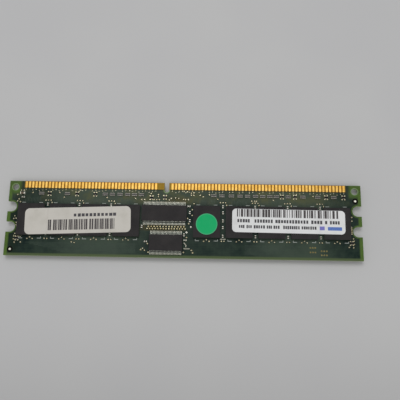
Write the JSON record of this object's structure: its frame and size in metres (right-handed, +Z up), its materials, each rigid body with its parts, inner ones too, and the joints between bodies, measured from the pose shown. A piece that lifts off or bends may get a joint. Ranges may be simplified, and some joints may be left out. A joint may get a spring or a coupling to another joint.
{
  "type": "memory module",
  "caption": "Flat registered memory module: a notched board with gold edge contacts, memory packages on both faces, leaded register and clock chips, and stick-on labels.",
  "frame": {"origin": "middle of the bounding box's bottom face, on the surface that the module lies on", "axes": "+X along the board with the long contact bank on the +X side, +Y towards the contact edge, +Z up, away from the surface, out of the labelled face"},
  "size_m": [0.1334, 0.0286, 0.0037],
  "materials": {
    "laminate": "satin",
    "solder_mask": "semi-gloss",
    "contact_gold": "plated",
    "solder": "satin",
    "mould_compound": "matte",
    "bond_resin": "gloss",
    "package_substrate": "satin",
    "silicon": "polished",
    "lead_tin": "satin",
    "copper": "satin",
    "resistor_ceramic": "satin",
    "capacitor_ceramic": "satin",
    "label_grey": "satin",
    "label_white": "satin",
    "sticker_green": "satin"
  },
  "bodies": {
    "root": {"circuit_board": "laminate", "solder_mask_front": "solder_mask", "solder_mask_back": "solder_mask", "contacts_front_long": "contact_gold", "contacts_front_short": "contact_gold", "contacts_back_long": "contact_gold", "contacts_back_short": "contact_gold", "fiducial_dots": "solder", "empty_pads": "solder", "dram_front_1": "mould_compound", "dram_front_2": "mould_compound", "dram_front_3": "mould_compound", "dram_front_4": "mould_compound", "dram_front_5": "mould_compound", "dram_front_6": "mould_compound", "dram_front_7": "mould_compound", "dram_front_8": "mould_compound", "dram_front_9": "mould_compound", "dram_back_1": "mould_compound", "dram_back_2": "mould_compound", "dram_back_3": "mould_compound", "dram_back_4": "mould_compound", "dram_back_5": "mould_compound", "dram_back_6": "mould_compound", "dram_back_7": "mould_compound", "dram_back_8": "mould_compound", "dram_back_9": "mould_compound", "dram_substrates_front": "package_substrate", "dram_substrates_back": "package_substrate", "dram_dies_front": "silicon", "dram_dies_back": "silicon", "slot_resin_front": "bond_resin", "slot_resin_back": "bond_resin", "solder_balls_front": "solder", "solder_balls_back": "solder", "register_front": "mould_compound", "register_front_leads": "lead_tin", "register_back": "mould_compound", "register_back_leads": "lead_tin", "clock_driver": "mould_compound", "clock_driver_leads": "lead_tin", "settings_memory": "mould_compound", "settings_memory_leads": "lead_tin", "logic_dies": "silicon", "die_paddles": "copper", "resistor_networks_front": "resistor_ceramic", "resistor_networks_back": "resistor_ceramic", "network_terminals_front": "lead_tin", "network_terminals_back": "lead_tin", "capacitors_front": "capacitor_ceramic", "capacitors_back": "capacitor_ceramic", "capacitor_bands_front": "lead_tin", "capacitor_bands_back": "lead_tin", "filter_capacitor": "capacitor_ceramic", "filter_capacitor_bands": "lead_tin", "serial_label": "label_grey", "part_label": "label_white", "round_sticker": "sticker_green"}
  },
  "joints": []
}
